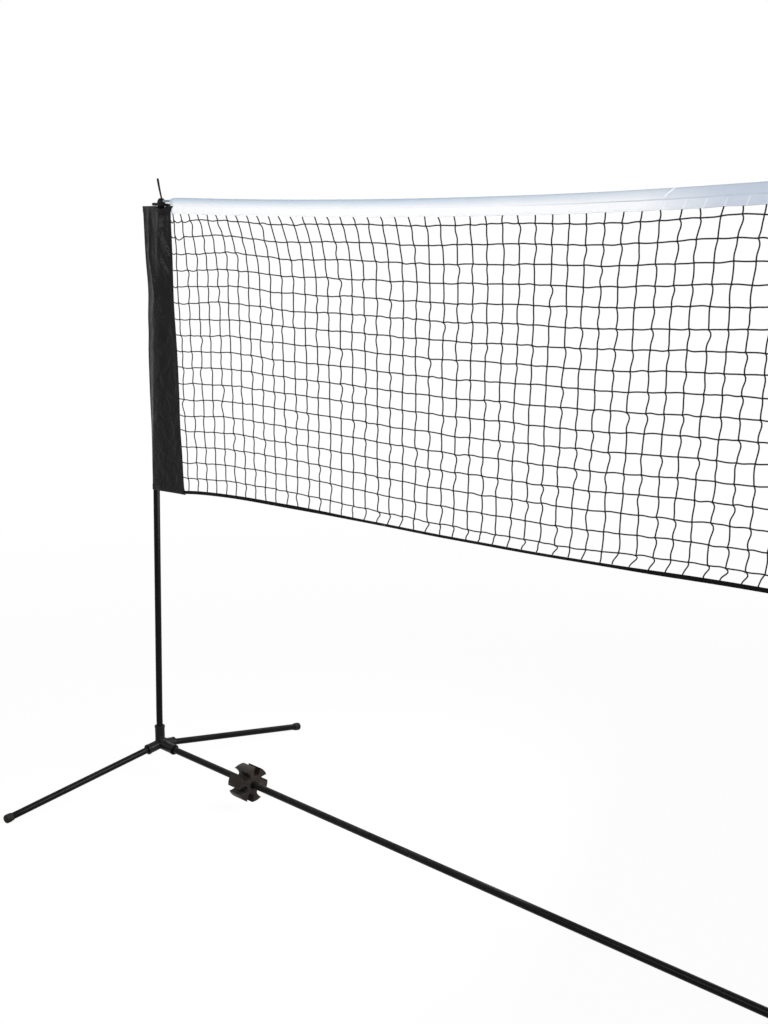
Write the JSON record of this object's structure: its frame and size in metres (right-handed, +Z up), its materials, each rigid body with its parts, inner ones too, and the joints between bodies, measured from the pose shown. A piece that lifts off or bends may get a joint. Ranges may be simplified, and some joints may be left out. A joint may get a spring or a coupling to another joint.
{
  "type": "mini tennis net",
  "caption": "Portable mini tennis net: square mesh with white head tape and black side sleeves on a knock-down tube frame with splayed legs, low crossbar and sliding storage clips.",
  "frame": {"origin": "on the floor under the middle of the net", "axes": "+X along the net to the right as seen from the front, +Y across the net, +Z up"},
  "size_m": [3.0296, 1.0098, 1.651],
  "materials": {
    "tube_steel": "satin black powder coat",
    "moulded_plastic": "moulded black nylon, light grain",
    "foot_rubber": "matte black rubber",
    "clip_plastic": "matte brown-black moulded plastic",
    "strap_nylon": "semi-gloss black nylon",
    "cord_braid": "braided pale grey cord",
    "tape_cloth": "white coated polyester tape",
    "net_twine": "black braided twine",
    "ribbon_webbing": "black woven binding",
    "sleeve_cloth": "black coated nylon cloth"
  },
  "bodies": {
    "root": {"connector_left": "moulded_plastic", "connector_right": "moulded_plastic", "crossbar_tube_left": "tube_steel", "crossbar_tube_middle": "tube_steel", "crossbar_tube_right": "tube_steel"},
    "net_and_posts": {"post_lower_left": "tube_steel", "post_upper_left": "tube_steel", "post_cap_left": "moulded_plastic", "cord_cone_left": "moulded_plastic", "tie_strap_left": "strap_nylon", "sleeve_left": "sleeve_cloth", "post_lower_right": "tube_steel", "post_upper_right": "tube_steel", "post_cap_right": "moulded_plastic", "cord_cone_right": "moulded_plastic", "tie_strap_right": "strap_nylon", "sleeve_right": "sleeve_cloth", "head_cord": "cord_braid", "head_tape": "tape_cloth", "net": "net_twine", "bottom_ribbon": "ribbon_webbing"},
    "storage_clip_left": {"storage_clip_left": "clip_plastic"},
    "storage_clip_right": {"storage_clip_right": "clip_plastic"},
    "leg_front_left": {"leg_tube_front_left": "tube_steel", "foot_cap_front_left": "foot_rubber"},
    "leg_back_left": {"leg_tube_back_left": "tube_steel", "foot_cap_back_left": "foot_rubber"},
    "leg_front_right": {"leg_tube_front_right": "tube_steel", "foot_cap_front_right": "foot_rubber"},
    "leg_back_right": {"leg_tube_back_right": "tube_steel", "foot_cap_back_right": "foot_rubber"}
  },
  "joints": [
    {"name": "posts_lift", "type": "slide", "parent": "root", "child": "net_and_posts", "axis": [0, 0, 1], "range_m": [0, 0.05]},
    {"name": "clip_left_slide", "type": "slide", "parent": "root", "child": "storage_clip_left", "axis": [1, 0, 0], "range_m": [-0.303, 2.14]},
    {"name": "clip_right_slide", "type": "slide", "parent": "root", "child": "storage_clip_right", "axis": [1, 0, 0], "range_m": [-2.14, 0.303]},
    {"name": "leg_front_left_pull", "type": "slide", "parent": "root", "child": "leg_front_left", "axis": [0.0432, -0.9894, -0.1383], "range_m": [0, 0.045]},
    {"name": "leg_back_left_pull", "type": "slide", "parent": "root", "child": "leg_back_left", "axis": [0.0432, 0.9894, -0.1383], "range_m": [0, 0.045]},
    {"name": "leg_front_right_pull", "type": "slide", "parent": "root", "child": "leg_front_right", "axis": [-0.0432, -0.9894, -0.1383], "range_m": [0, 0.045]},
    {"name": "leg_back_right_pull", "type": "slide", "parent": "root", "child": "leg_back_right", "axis": [-0.0432, 0.9894, -0.1383], "range_m": [0, 0.045]}
  ]
}
